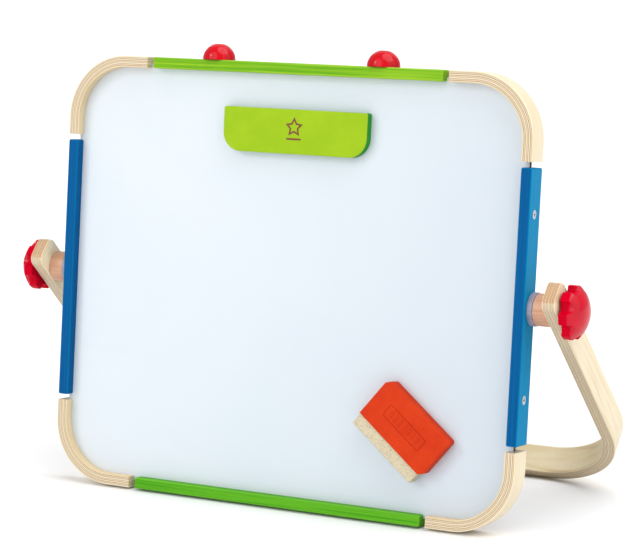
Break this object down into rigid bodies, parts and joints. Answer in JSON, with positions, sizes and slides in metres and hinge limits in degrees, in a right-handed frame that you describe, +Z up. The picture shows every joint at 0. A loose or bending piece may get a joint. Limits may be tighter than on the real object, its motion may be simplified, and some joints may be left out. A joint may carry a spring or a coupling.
{
  "type": "tabletop easel",
  "caption": "Double-sided tabletop easel: a framed magnetic drawing panel on a U-shaped bent plywood stand that folds on two clamping knobs, with clip and eraser.",
  "frame": {"origin": "bottom centre of the bounding box, on the surface the easel stands on", "axes": "+X to the right along the pivot axis, -Y the way the white face looks, +Z up"},
  "size_m": [0.5706, 0.2422, 0.4137],
  "materials": {
    "white_steel": "smooth white dry-wipe enamel, soft gloss",
    "chalk_coat": "matte charcoal chalkboard coating, faint dust",
    "board_core": "brown hardboard core",
    "green_paint": "satin lime green paint over fine grain",
    "blue_paint": "satin blue paint over visible grain",
    "bent_ply": "clear-coated birch plywood, thin plies on the edges",
    "beech": "fine sanded beech",
    "red_lacquer": "high gloss red lacquer",
    "red_plastic": "glossy moulded red plastic",
    "clear_plastic": "translucent soft plastic",
    "zinc_steel": "bright zinc-plated steel",
    "brass": "plain turned brass",
    "clip_green": "satin lime paint on a smooth board",
    "eraser_orange": "matte orange foam",
    "felt": "pressed beige felt, rough edges",
    "magnet": "nickel-plated magnet"
  },
  "bodies": {
    "board": {"chalkboard_skin": "chalk_coat", "corner_bottom_left": "bent_ply", "corner_bottom_right": "bent_ply", "corner_top_left": "bent_ply", "corner_top_right": "bent_ply", "dome_screws": "zinc_steel", "friction_disc_left": "clear_plastic", "friction_disc_right": "clear_plastic", "panel_core": "board_core", "rail_bottom": "green_paint", "rail_left": "blue_paint", "rail_right": "blue_paint", "rail_screws_left": "zinc_steel", "rail_screws_right": "zinc_steel", "rail_top": "green_paint", "threaded_insert_left": "brass", "threaded_insert_right": "brass", "top_dome_left": "red_lacquer", "top_dome_right": "red_lacquer", "whiteboard_skin": "white_steel"},
    "stand": {"stand_bow": "bent_ply", "spacer_left": "beech", "spacer_right": "beech"},
    "clip": {"clip_plate": "clip_green", "clip_magnets": "magnet"},
    "eraser": {"eraser_block": "eraser_orange", "eraser_felt": "felt", "eraser_magnet": "magnet"},
    "washer_left": {"knob_washer_left": "zinc_steel"},
    "knob_left": {"knob_left": "red_plastic", "knob_stud_left": "zinc_steel"},
    "washer_right": {"knob_washer_right": "zinc_steel"},
    "knob_right": {"knob_right": "red_plastic", "knob_stud_right": "zinc_steel"}
  },
  "joints": [
    {"name": "stand_fold", "type": "hinge", "parent": "board", "child": "stand", "pos_m": [0, -0.08081, 0.19779], "axis": [1, 0, 0], "continuous": true},
    {"name": "clamp_left_travel", "type": "slide", "parent": "board", "child": "washer_left", "axis": [-1, 0, 0], "range_m": [0, 0.002]},
    {"name": "knob_left_turn", "type": "hinge", "parent": "washer_left", "child": "knob_left", "pos_m": [-0.27185, -0.08081, 0.19779], "axis": [-1, 0, 0], "range_deg": [0, 720]},
    {"name": "clamp_right_travel", "type": "slide", "parent": "board", "child": "washer_right", "axis": [1, 0, 0], "range_m": [0, 0.002]},
    {"name": "knob_right_turn", "type": "hinge", "parent": "washer_right", "child": "knob_right", "pos_m": [0.27185, -0.08081, 0.19779], "axis": [1, 0, 0], "range_deg": [0, 720]},
    {"name": "clip_lift", "type": "slide", "parent": "board", "child": "clip", "axis": [0, -0.9942, 0.108], "range_m": [0, 0.12]},
    {"name": "eraser_lift", "type": "slide", "parent": "board", "child": "eraser", "axis": [0, -0.9942, 0.108], "range_m": [0, 0.12]}
  ],
  "couplings": [
    {"joint": "clamp_left_travel", "follows": "knob_left_turn", "m_per_rad": 0.00015915},
    {"joint": "clamp_right_travel", "follows": "knob_right_turn", "m_per_rad": 0.00015915}
  ]
}
